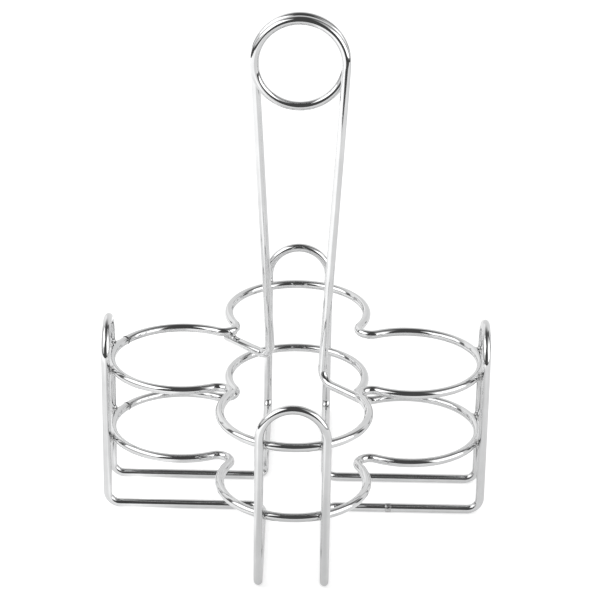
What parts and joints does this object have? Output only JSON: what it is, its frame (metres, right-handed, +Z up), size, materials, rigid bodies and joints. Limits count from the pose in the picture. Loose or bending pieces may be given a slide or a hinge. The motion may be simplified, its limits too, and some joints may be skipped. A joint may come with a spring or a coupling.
{
  "type": "condiment caddy",
  "caption": "Chrome wire caddy whose open rings hold table bottles upright between arched legs, with a tall central handle ending in a coiled finger ring.",
  "frame": {"origin": "middle of the footprint, on the table that the base frame stands on", "axes": "+Z up through the finger ring, +X to the right and +Y to the back, each along an arm of the base frame"},
  "size_m": [0.184, 0.184, 0.2467],
  "materials": {
    "chrome_wire": "bright chrome plate on steel wire",
    "chrome_weld": "chrome plate over rough weld metal"
  },
  "bodies": {
    "root": {"base_frame": "chrome_wire", "lower_ring": "chrome_wire", "upper_ring": "chrome_wire", "handle": "chrome_wire", "weld_right_front_lower": "chrome_weld", "weld_right_back_lower": "chrome_weld", "weld_back_right_lower": "chrome_weld", "weld_back_left_lower": "chrome_weld", "weld_left_back_lower": "chrome_weld", "weld_left_front_lower": "chrome_weld", "weld_front_left_lower": "chrome_weld", "weld_front_right_lower": "chrome_weld", "weld_right_front_upper": "chrome_weld", "weld_right_back_upper": "chrome_weld", "weld_back_right_upper": "chrome_weld", "weld_back_left_upper": "chrome_weld", "weld_left_back_upper": "chrome_weld", "weld_left_front_upper": "chrome_weld", "weld_front_left_upper": "chrome_weld", "weld_front_right_upper": "chrome_weld", "weld_handle_front_right": "chrome_weld", "weld_handle_back_left": "chrome_weld", "seam_base_frame": "chrome_weld", "seam_lower_ring": "chrome_weld", "seam_upper_ring": "chrome_weld"}
  },
  "joints": []
}
